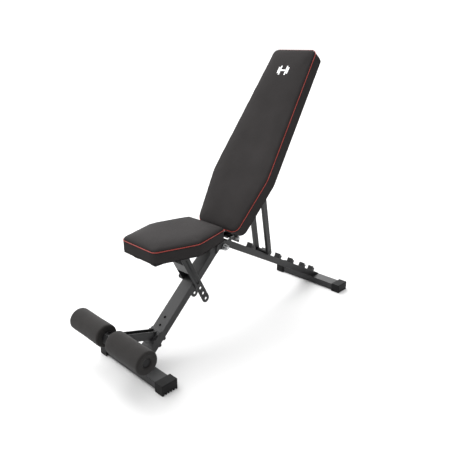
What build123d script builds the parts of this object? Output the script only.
from build123d import *
import os
from math import atan2, cos, degrees, hypot, radians, sin, sqrt

# Adjustable weight bench, millimetres.  +X runs from the foot rollers to the head end, +Y is the
# left side, +Z is up.  Stations along X are measured from the axis of the front stabilizer and are
# shifted when each node is written, so that the origin lies on the floor under the middle.

# ---------------------------------------------------------------- driving dimensions
tube_width, tube_height, tube_wall = 50.0, 25.0, 2.0

stabilizer_length = 336.0          # over the rubber caps
stabilizer_z = 17.0                # tube axis above the floor
rear_station = 947.0               # axis of the rear stabilizer
cap_length, cap_width, cap_height, cap_end_wall = 36.0, 60.0, 34.5, 4.0
cap_teeth, tooth_depth, tooth_end_depth = 6, 3.8, 8.5

main_angle = 43.1                  # slope of the main tube
main_start_z = 9.7                 # its centre line at station 0
main_end_station = 350.0
accessory_hole_stations = (101.0, 123.0)

leg_pivot = (375.0, 327.0)         # fold hinge of the rear leg, station and height
rear_angle = 28.8                  # fall of the rear tube
rear_top = 28.6                    # top face of the rear tube above the hinge axis, square to it
rear_tube_width = 49.4             # runs between the pivot brackets
rear_tube_end_station = 970.0

catch_count, catch_pitch, last_catch_pitch = 6, 97.0, 77.6
first_catch = 170.3                # along the rear tube from the hinge axis
catch_length, catch_height, catch_width, catch_prong = 15.0, 14.0, 26.0, 4.5

back_hinge = (437.0, 346.0)
back_angle = 54.75                 # backrest angle at rest
back_bottom = (362.5, 397.4)       # lower end of the backrest's piping line
back_depth = 44.0                  # piping line to the flat back of the pad
back_outline = ((0.0, 95.0), (203.0, 128.0), (706.0, 94.0))
back_corner_radii = (32.0, 110.0, 24.0)

support_top = (553.2, 569.3)       # pivot of the support arm on the backrest
support_rod_radius = 7.0
support_leg_width, support_leg_thickness = 21.0, 12.0
support_leg_inner = 25.3           # inner face of each leg from the centre plane
notch_gap = 0.3

seat_piping_z = 421.0
seat_depth = 38.5
seat_outline = ((27.5, 81.0), (172.0, 125.0), (317.0, 88.0))
seat_corner_radii = (20.0, 55.0, 6.0)
seat_hinge = (323.0, 368.0)

pin_point = (244.2, 235.8)         # where the index plunger crosses the main tube
strut_angle = 63.0                 # fall of the seat strut at rest
strut_first_hole = 122.0           # from the strut's top bolt
strut_hole_pitch, strut_holes = 27.0, 4
strut_width, strut_flange = 30.0, 4.0
strut_inner = 27.0
strut_web = (24.0, 66.0)           # stretch of the strut that has its front web

roller_axis = (-86.6, 150.7)
roller_radius, roller_inner_y, roller_outer_y = 37.3, 21.6, 181.0
axle_radius, axle_wall = 12.5, 2.0
arm_width, arm_height = 25.0, 28.0
arm_slope = 18.0
arm_plate_station, arm_plate_half_length, arm_plate_thickness = 70.0, 27.0, 5.0
arm_bolt_y, arm_bolt_spacing = 19.0, 26.0

crown = 9.0                        # how far a cushion rises past its piping line
board_thickness, board_inset = 12.0, 4.0
rail_size, rail_wall = 25.0, 2.0
seat_rail_height = 20.0
seat_rail_y, back_rail_y = 43.0, 55.0
seat_rail_ends, back_rail_ends = (55.0, 292.0), (51.0, 633.0)
bracket_plate = 4.0                # sheet thickness of the brackets
running_clearance, fixed_clearance = 0.08, 0.03
bolt_radius, small_bolt_radius, leg_bolt_radius = 5.0, 4.0, 6.0

# ---------------------------------------------------------------- derived sizes
front_end = roller_axis[0] - roller_radius
rear_end = rear_station + cap_width / 2
origin_station = (front_end + rear_end) / 2

half_tube = tube_width / 2
half_height = tube_height / 2
main_dir = (cos(radians(main_angle)), sin(radians(main_angle)))
main_plane = Plane(origin=(0, 0, main_start_z), x_dir=(main_dir[0], 0, main_dir[1]),
                   z_dir=(-main_dir[1], 0, main_dir[0]))
rear_dir = (cos(radians(rear_angle)), -sin(radians(rear_angle)))
rear_up = (-rear_dir[1], rear_dir[0])
rear_plane = Plane(origin=(leg_pivot[0], 0, leg_pivot[1]), x_dir=(rear_dir[0], 0, rear_dir[1]),
                   z_dir=(rear_up[0], 0, rear_up[1]))
back_dir = (cos(radians(back_angle)), sin(radians(back_angle)))
back_plane = Plane(origin=(back_bottom[0], 0, back_bottom[1]), x_dir=(back_dir[0], 0, back_dir[1]),
                   z_dir=(-back_dir[1], 0, back_dir[0]))
seat_plane = Plane(origin=(0, 0, seat_piping_z), x_dir=(1, 0, 0), z_dir=(0, 0, 1))

catch_places = [first_catch + i * catch_pitch for i in range(catch_count - 1)]
catch_places.append(catch_places[-1] + last_catch_pitch)


def rear_point(along, up):
    """Station and height of a point given along and square to the rear tube."""
    return (leg_pivot[0] + along * rear_dir[0] + up * rear_up[0],
            leg_pivot[1] + along * rear_dir[1] + up * rear_up[1])


def back_point(along, depth):
    """Station and height of a point along the backrest and behind its piping line."""
    return (back_bottom[0] + along * back_dir[0] + depth * back_dir[1],
            back_bottom[1] + along * back_dir[1] - depth * back_dir[0])


support_foot = rear_point(catch_places[1] - catch_length / 2 - support_rod_radius - notch_gap,
                          rear_top + support_rod_radius + notch_gap)
strut_dir = (cos(radians(strut_angle)), -sin(radians(strut_angle)))
strut_top = (pin_point[0] - strut_first_hole * strut_dir[0],
             pin_point[1] - strut_first_hole * strut_dir[1])


# ---------------------------------------------------------------- small builders
def slab(sketch, y_low, y_high):
    """A side-view sketch (station, height) given thickness from y_low to y_high."""
    return extrude(Plane.XZ.offset(-y_high) * sketch, y_high - y_low)


def rod(place, radius, y_low, y_high):
    """A round bar across the bench."""
    return slab(Pos(place[0], place[1]) * Circle(radius), y_low, y_high)


def hexagon(place, flats, y_low, y_high):
    """A hexagonal nut or bolt head whose axis runs across the bench."""
    return slab(Pos(place[0], place[1]) * RegularPolygon(flats / sqrt(3), 6), y_low, y_high)


def outline(points):
    return make_face(Polyline(*points, close=True))


def both_sides(solid):
    """The solid and its mirror image across the centre plane."""
    return [solid, mirror(solid, Plane.XZ)]


def brick(x_low, x_high, y_low, y_high, z_low, z_high):
    """A box by its limits, in whatever plane it is then placed."""
    middle = Pos((x_low + x_high) / 2, (y_low + y_high) / 2, (z_low + z_high) / 2)
    return middle * Box(x_high - x_low, y_high - y_low, z_high - z_low)


def box_tube(x_low, x_high, width, height, wall):
    """A rectangular tube along local X, centred on it."""
    outer = brick(x_low, x_high, -width / 2, width / 2, -height / 2, height / 2)
    bore = brick(x_low - 1, x_high + 1, wall - width / 2, width / 2 - wall,
                 wall - height / 2, height / 2 - wall)
    return outer - bore


def pad_outline(stations, radii, inset=0.0):
    """The six-sided plan of a pad with each corner rounded."""
    left = [(x, y) for x, y in stations]
    right = [(x, -y) for x, y in reversed(stations)]
    plan = outline(left + right)
    for (x, y), radius in zip(stations, radii):
        corners = [v for v in plan.vertices() if hypot(v.X - x, abs(v.Y) - y) < 1.0]
        plan = fillet(corners, radius)
    return offset(plan, -inset, kind=Kind.INTERSECTION) if inset else plan


def cushion(plane, stations, radii, depth):
    """A padded top that wraps the edge of its board, as a plain closed solid."""
    plan = pad_outline(stations, radii)
    body = Pos(0, 0, -depth) * extrude(plan, depth + crown)
    top_edges = body.edges().group_by(Axis.Z)[-1]
    body = fillet(top_edges, crown - 1)
    pocket = Pos(0, 0, -depth) * extrude(pad_outline(stations, radii, board_inset), board_thickness)
    return plane * (body - pocket)


def board(plane, stations, radii, depth):
    plan = pad_outline(stations, radii, board_inset)
    return plane * (Pos(0, 0, -depth) * extrude(plan, board_thickness))


nodes = {}


def write(name, *solids):
    """Shift a node to the bench's own origin and keep it for export."""
    shape = solids[0] if len(solids) == 1 else Compound(children=list(solids))
    nodes[name] = Pos(-origin_station, 0, 0) * shape


# ---------------------------------------------------------------- feet
def stabilizer(station):
    length = stabilizer_length / 2 - cap_end_wall
    tube = box_tube(-length, length, tube_width, tube_height, tube_wall)
    return Pos(station, 0, stabilizer_z) * (Rot(0, 0, 90) * tube)


def foot_cap(station):
    """A ribbed rubber cap on the left end of a stabilizer."""
    end = stabilizer_length / 2
    body = brick(-cap_width / 2, cap_width / 2, end - cap_length, end, 0, cap_height)
    upright = [e for e in body.edges() if abs(e.center().Y - end) < 0.1 and e.center().Z > 1]
    body = fillet(upright, 3.0)
    socket = brick(-half_tube, half_tube, end - cap_length - 1, end - cap_end_wall,
                   stabilizer_z - half_height, stabilizer_z + half_height)
    body = body - socket
    pitch = cap_width / cap_teeth
    half_gap = 0.37 * pitch
    for i in range(1, cap_teeth):
        x = i * pitch - cap_width / 2
        groove = outline([(x - half_gap, -1), (x - half_gap, 0), (x - half_gap / 2, tooth_depth),
                          (x + half_gap / 2, tooth_depth), (x + half_gap, 0), (x + half_gap, -1)])
        notch = outline([(x - half_gap, -1), (x - half_gap, 0), (x - half_gap / 2, tooth_end_depth),
                         (x + half_gap / 2, tooth_end_depth), (x + half_gap, 0), (x + half_gap, -1)])
        body = body - slab(groove, end - cap_length - 1, end + 1)
        body = body - slab(notch, end - cap_end_wall + 0.5, end + 1)
    return Pos(station, 0, 0) * body


front_box = brick(-half_tube, half_tube, -stabilizer_length / 2, stabilizer_length / 2,
                  stabilizer_z - half_height, stabilizer_z + half_height)
write("front_stabilizer", stabilizer(0))
write("front_foot_caps", *both_sides(foot_cap(0)))
write("rear_stabilizer", stabilizer(rear_station))
write("rear_foot_caps", *both_sides(foot_cap(rear_station)))

# ---------------------------------------------------------------- main tube and its fittings
main_tube = main_plane * box_tube(8.0 / main_dir[0], main_end_station / main_dir[0],
                                  tube_width, tube_height, tube_wall)
main_tube = main_tube - front_box
for station in accessory_hole_stations:
    along = (station + half_height * main_dir[1]) / main_dir[0]
    main_tube = main_tube - main_plane * (Pos(along, 0, half_height) * Cylinder(4.5, 2 * tube_wall + 1))

arm_plate_along = (arm_plate_station + half_height * main_dir[1]) / main_dir[0]
arm_bolt_places = [(arm_plate_along + dx, y) for dx in (-arm_bolt_spacing / 2, arm_bolt_spacing / 2)
                   for y in (-arm_bolt_y, arm_bolt_y)]
for along, y in arm_bolt_places:
    hole = Pos(along, y, 0) * Cylinder(small_bolt_radius + fixed_clearance, tube_height + 2)
    main_tube = main_tube - main_plane * hole

sleeve_radius = 7.0
nose_radius = 4.5
sleeve = rod(pin_point, sleeve_radius, -half_tube, half_tube)
sleeve = sleeve - rod(pin_point, nose_radius + 0.5, -half_tube - 1, half_tube + 1)
main_tube = main_tube - rod(pin_point, sleeve_radius, -half_tube - 1, half_tube + 1)
write("main_tube", main_tube)
write("seat_pin_sleeve", sleeve)


def pivot_bracket():
    """One side plate that joins the main tube, the rear leg's hinge and the backrest's hinge."""
    body = outline([
        (336, 312), (350, 324.5), (368, 320), rear_point(12, 4.5), rear_point(37, 4.5),
        rear_point(37, rear_top - 2), rear_point(23, rear_top - 2), rear_point(21, rear_top + 4),
        rear_point(66, rear_top + 4), (449, 334), (449, 347), (437, 358), (424, 356), (405, 355),
        (394, 348.5), (384, 348), (374, 351.5), (358, 352.5), (348, 349), (336, 337)])
    body = body + Pos(*leg_pivot) * Circle(12.0) + Pos(*back_hinge) * Circle(12.0)
    for place, radius in ((leg_pivot, leg_bolt_radius), (back_hinge, small_bolt_radius)):
        body = body - Pos(*place) * Circle(radius + fixed_clearance)
    return body


fold_point = rear_point(24.0, rear_top - half_height)
left_bracket = slab(pivot_bracket(), half_tube, half_tube + bracket_plate)
right_bracket = mirror(left_bracket, Plane.XZ)
left_bracket = left_bracket - rod(fold_point, nose_radius + running_clearance, half_tube - 1,
                                  half_tube + bracket_plate + 1)
write("pivot_bracket_left", left_bracket)
write("pivot_bracket_right", right_bracket)

bracket_outer = half_tube + bracket_plate


def cross_bolt(place, radius, flats, reach, far_reach=None):
    """Bolt with a hexagonal head on the left and its thread end on the right."""
    far_reach = far_reach or reach
    shank = rod(place, radius, -reach - 2 * radius - 3, far_reach)
    return shank + hexagon(place, flats, far_reach, far_reach + 0.7 * 2 * radius)


def nut_and_washer(place, radius, flats, reach):
    """Washer and nut on the right side, as two separate solids."""
    bore = radius + fixed_clearance
    washer_thickness = 2.0
    washer = rod(place, flats * 0.64, -reach - washer_thickness, -reach)
    washer = washer - rod(place, bore, -reach - washer_thickness - 1, -reach + 1)
    nut_base = -reach - washer_thickness
    nut = hexagon(place, flats, nut_base - 1.3 * radius, nut_base)
    collar = rod(place, flats * 0.43, nut_base - 1.8 * radius, nut_base - 1.3 * radius)
    nut = nut + collar - rod(place, bore, nut_base - 2 * radius - 1, nut_base + 1)
    return washer, nut


write("leg_hinge_bolt", cross_bolt(leg_pivot, leg_bolt_radius, 19.0, bracket_outer))
write("leg_hinge_nut", *nut_and_washer(leg_pivot, leg_bolt_radius, 19.0, bracket_outer))
write("back_hinge_bolt", cross_bolt(back_hinge, small_bolt_radius, 13.0, bracket_outer))
write("back_hinge_nut", *nut_and_washer(back_hinge, small_bolt_radius, 13.0, bracket_outer))


# The seat turns on a clevis pin, carried by two posts on the main tube, that a clip holds in.
post = outline([(308, 315.6), (338, 343.6), (333, 368), (313, 368)]) + Pos(*seat_hinge) * Circle(10.0)
post = post - Pos(*seat_hinge) * Circle(bolt_radius + fixed_clearance)
post = slab(post, half_tube - bracket_plate, half_tube)
write("seat_hinge_posts", *[half - main_tube for half in both_sides(post)])
seat_plate_inner = half_tube + 0.5
seat_plate_outer = seat_plate_inner + bracket_plate
clip_wire = 1.4
clip_y = -seat_plate_outer - 3.0
clevis_pin = rod(seat_hinge, bolt_radius, clip_y - 4.0, seat_plate_outer + 0.3)
clevis_pin = clevis_pin + rod(seat_hinge, 8.0, seat_plate_outer + 0.3, seat_plate_outer + 3.3)
clip_bore = Pos(seat_hinge[0], clip_y, seat_hinge[1]) * (Rot(0, 90, 0) * Cylinder(clip_wire + 0.05, 14))
clevis_pin = clevis_pin - clip_bore
write("seat_hinge_pin", clevis_pin)

clip_return = bolt_radius + clip_wire + 0.2
clip_path = Polyline((11, 0), (-13, 0)) + RadiusArc((-13, 0), (-13, clip_return), clip_return / 2)
clip_path = clip_path + Line((-13, clip_return), (9, clip_return))
clip_plane = Plane(origin=(seat_hinge[0], clip_y, seat_hinge[1]), x_dir=(1, 0, 0), z_dir=(0, -1, 0))
clip_path = clip_plane * clip_path
clip_start = Plane(origin=clip_path @ 0, z_dir=clip_path % 0)
write("seat_hinge_clip", sweep(clip_start * Circle(clip_wire), path=clip_path))

# ---------------------------------------------------------------- foot rollers
arm_dir = (cos(radians(arm_slope)), -sin(radians(arm_slope)))
arm_plane = Plane(origin=(roller_axis[0], 0, roller_axis[1]), x_dir=(arm_dir[0], 0, arm_dir[1]),
                  z_dir=(-arm_dir[1], 0, arm_dir[0]))
arm_nose = 17.0
open_top = brick(-arm_nose + 5, 201, tube_wall - arm_width / 2, arm_width / 2 - tube_wall, 0, arm_height)
roller_arm = arm_plane * (box_tube(-arm_nose, 200, arm_width, arm_height, tube_wall) - open_top)
plate_face = half_height + arm_plate_thickness
below_plate = main_plane * brick(-50, 400, -60, 60, -200, plate_face)
roller_arm = roller_arm - below_plate
axle_hole = rod(roller_axis, axle_radius, -100, 100)
roller_arm = roller_arm - axle_hole
write("roller_arm", roller_arm)

plug_head = 3.0
plug = arm_plane * brick(-arm_nose - plug_head, -arm_nose, -arm_width / 2, arm_width / 2,
                         -arm_height / 2, arm_height / 2)
plug = fillet(plug.edges().filter_by(GeomType.LINE).sort_by(Axis.X)[:4], 1.0)
write("roller_arm_plug", plug)

arm_plate = main_plane * brick(arm_plate_along - arm_plate_half_length,
                               arm_plate_along + arm_plate_half_length,
                               -half_tube, half_tube, half_height, plate_face)
arm_bolt_length = 35.5
arm_bolts, arm_nuts = [], []
for along, y in arm_bolt_places:
    plate_hole = Pos(along, y, 0) * Cylinder(small_bolt_radius + fixed_clearance, 60)
    arm_plate = arm_plate - main_plane * plate_hole
    head = Pos(along, y, plate_face) * extrude(RegularPolygon(12.0 / sqrt(3), 6), 5.0)
    shank = Pos(along, y, plate_face - arm_bolt_length) * extrude(Circle(small_bolt_radius),
                                                                  arm_bolt_length + 1)
    arm_bolts.append(main_plane * (shank + head))
    nut = Pos(along, y, -half_height - 7.0) * extrude(RegularPolygon(13.0 / sqrt(3), 6), 7.0)
    bore = Pos(along, y, -half_height - 4) * Cylinder(small_bolt_radius + fixed_clearance, 20)
    arm_nuts.append(main_plane * (nut - bore))
write("roller_arm_plate", arm_plate)
write("roller_arm_bolts", *arm_bolts)
write("roller_arm_nuts", *arm_nuts)

axle_end = roller_outer_y - 8.5
axle = rod(roller_axis, axle_radius, -axle_end, axle_end)
axle = axle - rod(roller_axis, axle_radius - axle_wall, -axle_end - 1, axle_end + 1)
write("roller_axle", axle)

spacer = rod(roller_axis, 18.0, arm_width / 2, roller_inner_y - 0.4)
spacer = spacer - rod(roller_axis, axle_radius, 0, roller_inner_y)
write("roller_spacers", *both_sides(spacer))

end_cap_radius = 12.9
end_cap = rod(roller_axis, end_cap_radius, axle_end, axle_end + 3.5)
end_cap = fillet(end_cap.edges().sort_by(Axis.Y)[-1], 1.5)
end_cap = end_cap + rod(roller_axis, axle_radius - axle_wall, axle_end - 12, axle_end)
write("roller_end_caps", *both_sides(end_cap))

core_radius = 15.0
core = rod(roller_axis, core_radius, roller_inner_y, axle_end - 0.5)
core = core - rod(roller_axis, axle_radius + running_clearance, 0, roller_outer_y)
foam = rod(roller_axis, roller_radius, roller_inner_y, roller_outer_y)
foam = fillet(foam.edges(), 4.0)
foam = foam - rod(roller_axis, core_radius, 0, axle_end - 0.5)
foam = foam - rod(roller_axis, end_cap_radius + 1.0, axle_end - 0.5, roller_outer_y + 1)
for side, flip in (("left", False), ("right", True)):
    write("foam_roller_" + side, mirror(foam, Plane.XZ) if flip else foam)
    write("roller_core_" + side, mirror(core, Plane.XZ) if flip else core)

# ---------------------------------------------------------------- rear leg
knuckle_radius = 8.0
rear_tube = rear_plane * (Pos(0, 0, rear_top - half_height)
                          * box_tube(2.0, 760.0, rear_tube_width, tube_height, tube_wall))
seat_on_stabilizer = stabilizer_z + half_height
rear_tube = rear_tube - brick(rear_station - half_tube, 1200, -60, 60, -200, seat_on_stabilizer)
rear_tube = rear_tube - brick(rear_tube_end_station, 1200, -60, 60, -200, 200)
rear_tube = rear_tube - rod(leg_pivot, knuckle_radius, -60, 60)
rear_tube = rear_tube - rod(fold_point, nose_radius + 0.5, 0, 60)
write("rear_tube", rear_tube)

knuckle = rod(leg_pivot, knuckle_radius, -rear_tube_width / 2, rear_tube_width / 2)
knuckle = knuckle - rod(leg_pivot, leg_bolt_radius + running_clearance, -60, 60)
write("leg_hinge_sleeve", knuckle)

half_catch = catch_length / 2
prong_width = 3.0
catch_profile = outline([(-half_catch, 0), (half_catch, 0), (half_catch, catch_height),
                         (prong_width + 0.8 - half_catch, catch_height),
                         (prong_width - half_catch, catch_height + catch_prong),
                         (-half_catch, catch_height + catch_prong)])
catches = []
for along in catch_places:
    place = Pos(leg_pivot[0], leg_pivot[1]) * Rot(0, 0, -rear_angle) * Pos(along, rear_top)
    catches.append(slab(place * catch_profile, -catch_width / 2, catch_width / 2))
write("ladder_catches", *catches)

# ---------------------------------------------------------------- support arm
leg_outer = support_leg_inner + support_leg_thickness
support_length = hypot(support_foot[0] - support_top[0], support_foot[1] - support_top[1])
support_tilt = degrees(atan2(support_top[1] - support_foot[1], support_top[0] - support_foot[0]))
leg_half = support_leg_width / 2
leg_plan = (Pos(support_length / 2, 0) * Rectangle(support_length, support_leg_width)
            + Circle(leg_half) + Pos(support_length, 0) * Circle(leg_half + 1.5))
leg_plan = Pos(*support_foot) * Rot(0, 0, support_tilt) * leg_plan
support_leg = slab(leg_plan, support_leg_inner, leg_outer)
support_bore = rod(support_top, bolt_radius + running_clearance, -100, 100)
support_leg = support_leg - support_bore - rod(support_foot, support_rod_radius, 0, 100)
write("support_arm_legs", *both_sides(support_leg))
write("support_arm_rod", rod(support_foot, support_rod_radius, -leg_outer - 1.5, leg_outer + 1.5))
support_tube = rod(support_top, 9.0, -support_leg_inner, support_leg_inner) - support_bore
write("support_arm_tube", support_tube)

# ---------------------------------------------------------------- backrest
write("back_cushion", cushion(back_plane, back_outline, back_corner_radii, back_depth))
back_screw_rows = (88.0, 353.0, 603.0)
screw_radius = 3.0


def screws(plane, places, head_depth, tip_depth):
    """Pan-head screws driven square into a board from behind."""
    made = []
    for along, y in places:
        shank = Pos(along, y, -head_depth) * extrude(Circle(screw_radius), head_depth - tip_depth)
        head = Pos(along, y, -head_depth - 3.0) * extrude(Circle(6.0), 3.0)
        made.append(plane * (shank + fillet(head.edges().sort_by(Axis.Z)[0], 2.0)))
    return made


def screw_bores(plane, places, head_depth, tip_depth):
    return [plane * (Pos(along, y, -head_depth - 1)
                     * extrude(Circle(screw_radius + fixed_clearance), head_depth + 1.2 - tip_depth))
            for along, y in places]


back_screw_places = [(u, y) for u in back_screw_rows for y in (-back_rail_y, back_rail_y)]
back_rail_depth = back_depth + rail_size
back_bores = screw_bores(back_plane, back_screw_places, back_rail_depth, back_depth - 8)
back_board = board(back_plane, back_outline, back_corner_radii, back_depth)
back_rail = box_tube(*back_rail_ends, rail_size, rail_size, rail_wall)
back_rail = back_plane * (Pos(0, back_rail_y, -back_depth - rail_size / 2) * back_rail)
pivot_bore = rod(support_top, bolt_radius + fixed_clearance, -100, 100)
back_rails = [rail - pivot_bore for rail in both_sides(back_rail)]
for bore in back_bores:
    back_board = back_board - bore
    back_rails = [rail - bore for rail in back_rails]
write("back_board", back_board)
write("back_rail_left", back_rails[0])
write("back_rail_right", back_rails[1])
write("back_board_screws", *screws(back_plane, back_screw_places, back_rail_depth, back_depth - 8))

rail_outer = back_rail_y + rail_size / 2
rail_inner = back_rail_y - rail_size / 2
lower_tie = back_plane * (Pos(38.5, 0, -back_depth - rail_size / 2)
                          * (Rot(0, 0, 90) * box_tube(-rail_outer, rail_outer, rail_size, rail_size,
                                                      rail_wall)))
upper_tie = back_plane * (Pos(593, 0, -back_depth - rail_size / 2)
                          * (Rot(0, 0, 90) * box_tube(-rail_inner, rail_inner, rail_size, rail_size,
                                                      rail_wall)))
write("back_frame_ties", lower_tie, upper_tie)

cheek_inner, cheek_outer = 19.0, 24.0
hub_radius = 10.0
back_cheek = outline([back_point(26, back_depth + rail_size), back_point(51, back_depth + rail_size),
                      (back_hinge[0] + 9, back_hinge[1] + 5), (back_hinge[0] - 8, back_hinge[1] + 6)])
back_cheek = back_cheek + Pos(*back_hinge) * Circle(hub_radius)
back_hub_bore = rod(back_hinge, small_bolt_radius + running_clearance, -60, 60)
cheek = slab(back_cheek, cheek_inner, cheek_outer) - back_hub_bore
hub = rod(back_hinge, hub_radius, -cheek_inner, cheek_inner) - back_hub_bore
write("back_hinge_bracket", hub + both_sides(cheek))

arm_bolt = rod(support_top, bolt_radius, -rail_outer - 12, rail_outer)
arm_bolt = arm_bolt + hexagon(support_top, 17.0, rail_outer, rail_outer + 6.5)
write("support_arm_bolt", arm_bolt)
write("support_arm_nut", *nut_and_washer(support_top, bolt_radius, 17.0, rail_outer))
bush = rod(support_top, 10.0, leg_outer + 0.3, rail_inner)
bush = bush - rod(support_top, bolt_radius + fixed_clearance, 0, 100)
write("support_arm_bushes", *both_sides(bush))

# ---------------------------------------------------------------- seat
write("seat_cushion", cushion(seat_plane, seat_outline, seat_corner_radii, seat_depth))
seat_under = seat_piping_z - seat_depth
seat_rail_bottom = seat_under - seat_rail_height
seat_rail = Pos(0, seat_rail_y, seat_under - seat_rail_height / 2)
seat_rail = seat_rail * box_tube(*seat_rail_ends, rail_size, seat_rail_height, rail_wall)
seat_screw_places = [(x, y) for x in (100.0, 262.0) for y in (-seat_rail_y, seat_rail_y)]
seat_head_depth = seat_depth + seat_rail_height
seat_bores = screw_bores(seat_plane, seat_screw_places, seat_head_depth, seat_depth - 8)
seat_board = board(seat_plane, seat_outline, seat_corner_radii, seat_depth)
seat_rails = both_sides(seat_rail)
for bore in seat_bores:
    seat_board = seat_board - bore
    seat_rails = [rail - bore for rail in seat_rails]
write("seat_board", seat_board)
write("seat_rails", *seat_rails)
write("seat_board_screws", *screws(seat_plane, seat_screw_places, seat_head_depth, seat_depth - 8))

seat_rail_inner = seat_rail_y - rail_size / 2
tie_middle = strut_top[0] - 4
seat_tie = brick(tie_middle - 20, tie_middle + 20, -seat_rail_inner, seat_rail_inner,
                 seat_rail_bottom, seat_rail_bottom + 3)
seat_rear_tie = brick(262, 292, -seat_rail_inner, seat_rail_inner, seat_rail_bottom, seat_under)
seat_rear_tie = seat_rear_tie - brick(264, 290, -seat_rail_inner - 1, seat_rail_inner + 1,
                                      seat_rail_bottom + 2, seat_under - 2)
write("seat_rear_tie", seat_rear_tie)

lug_outer = strut_inner - 1.0
lug_shape = outline([(strut_top[0] - 18, seat_rail_bottom), (strut_top[0] + 14, seat_rail_bottom),
                     (strut_top[0] + 10, strut_top[1] - 3), (strut_top[0] - 10, strut_top[1] - 3)])
lug_shape = lug_shape + Pos(*strut_top) * Circle(11.0)
lug_shape = lug_shape - Pos(*strut_top) * Circle(small_bolt_radius + fixed_clearance)
write("seat_strut_bracket", seat_tie + both_sides(slab(lug_shape, lug_outer - bracket_plate, lug_outer)))

hinge_shape = outline([(292, seat_rail_bottom + 0.5), (292, seat_under - 0.5), (300, seat_under - 0.5),
                       (326, 378.5), (320, 357.5)])
hinge_shape = hinge_shape + Pos(*seat_hinge) * Circle(11.0)
hinge_shape = hinge_shape - Pos(*seat_hinge) * Circle(bolt_radius + running_clearance)
write("seat_hinge_plates", *both_sides(slab(hinge_shape, seat_plate_inner, seat_plate_outer)))

strut_outer = strut_inner + strut_flange
strut_bolt = rod(strut_top, small_bolt_radius, -strut_outer - 12, strut_outer + 0.3)
strut_bolt = strut_bolt + hexagon(strut_top, 13.0, strut_outer + 0.3, strut_outer + 5.8)
write("strut_bolt", strut_bolt)
strut_nut = hexagon(strut_top, 13.0, -strut_outer - 9.3, -strut_outer - 0.3)
strut_nut = strut_nut - rod(strut_top, small_bolt_radius + fixed_clearance, -100, 0)
write("strut_nut", strut_nut)

# ---------------------------------------------------------------- seat strut
strut_last = strut_first_hole + (strut_holes - 1) * strut_hole_pitch
strut_place = Pos(*strut_top) * Rot(0, 0, -strut_angle)
half_strut = strut_width / 2
flange_plan = (Circle(half_strut) + Pos(strut_last / 2, 0) * Rectangle(strut_last, strut_width)
               + Pos(strut_last, 0) * Circle(half_strut))
for i in range(strut_holes):
    flange_plan = flange_plan - Pos(strut_first_hole + i * strut_hole_pitch, 0) * Circle(nose_radius + 0.5)
flange_plan = strut_place * (flange_plan - Circle(small_bolt_radius + running_clearance))
web_plan = Pos(sum(strut_web) / 2, strut_flange / 2 - half_strut)
web_plan = web_plan * Rectangle(strut_web[1] - strut_web[0], strut_flange)
strut = slab(flange_plan, -strut_outer, -strut_inner) + slab(flange_plan, strut_inner, strut_outer)
strut = strut + slab(strut_place * web_plan, -strut_outer, strut_outer)
write("seat_strut", strut)

# ---------------------------------------------------------------- index plungers
plunger_gap = 1.5
carrier_low = strut_outer + plunger_gap
carrier_high = carrier_low + 3.0
pin_along = ((pin_point[0] * main_dir[0]) + (pin_point[1] - main_start_z) * main_dir[1])
carrier_foot = brick(pin_along + 34, pin_along + 64, half_tube, half_tube + 3, -11, 11)
carrier_step = brick(pin_along + 34, pin_along + 37, half_tube, carrier_high, -11, 11)
carrier_face = brick(pin_along - 12, pin_along + 37, carrier_low, carrier_high, -11, 11)
carrier = main_plane * (carrier_foot + carrier_step + carrier_face)
carrier = carrier - rod(pin_point, nose_radius + running_clearance, 0, 60)
write("seat_plunger_bracket", carrier)

housing_length, housing_radius = 7.5, 8.0
knob_radius, knob_length, knob_web = 10.5, 12.0, 3.0


def housing(place, base):
    body = rod(place, housing_radius, base, base + housing_length)
    return body - rod(place, nose_radius + running_clearance, base - 1, base + housing_length + 1)


def plunger(place, tip, base, travel):
    """Zinc pin and its cupped grip, pulled back by its travel and parked."""
    skirt = base + travel + 0.5
    knob = rod(place, knob_radius, skirt, skirt + knob_length)
    knob = fillet(knob.edges().sort_by(Axis.Y)[-1], 2.0)
    knob = knob - rod(place, housing_radius + 0.5, skirt - 1, skirt + knob_length - knob_web)
    for i in range(8):
        groove = Rot(0, 0, i * 45) * (Pos(knob_radius + 1.2, 0) * Circle(2.2))
        knob = knob - slab(Pos(*place) * groove, skirt - 1, skirt + knob_length + 1)
    pin = rod(place, nose_radius, tip, skirt + knob_length - knob_web)
    return pin, knob


seat_travel, fold_travel = 10.0, 8.0
write("seat_plunger_housing", housing(pin_point, carrier_high))
seat_pin, seat_knob = plunger(pin_point, carrier_low + 0.2, carrier_high, seat_travel)
write("seat_plunger_pin", seat_pin)
write("seat_plunger_knob", seat_knob)
write("fold_plunger_housing", housing(fold_point, bracket_outer))
fold_pin, fold_knob = plunger(fold_point, half_tube + 0.2, bracket_outer, fold_travel)
write("fold_plunger_pin", fold_pin)
write("fold_plunger_knob", fold_knob)

# ---------------------------------------------------------------- export
os.makedirs("parts", exist_ok=True)
for name, shape in nodes.items():
    export_step(shape, "parts/" + name + ".step")
print(len(nodes), "nodes, origin at station", round(origin_station, 2))
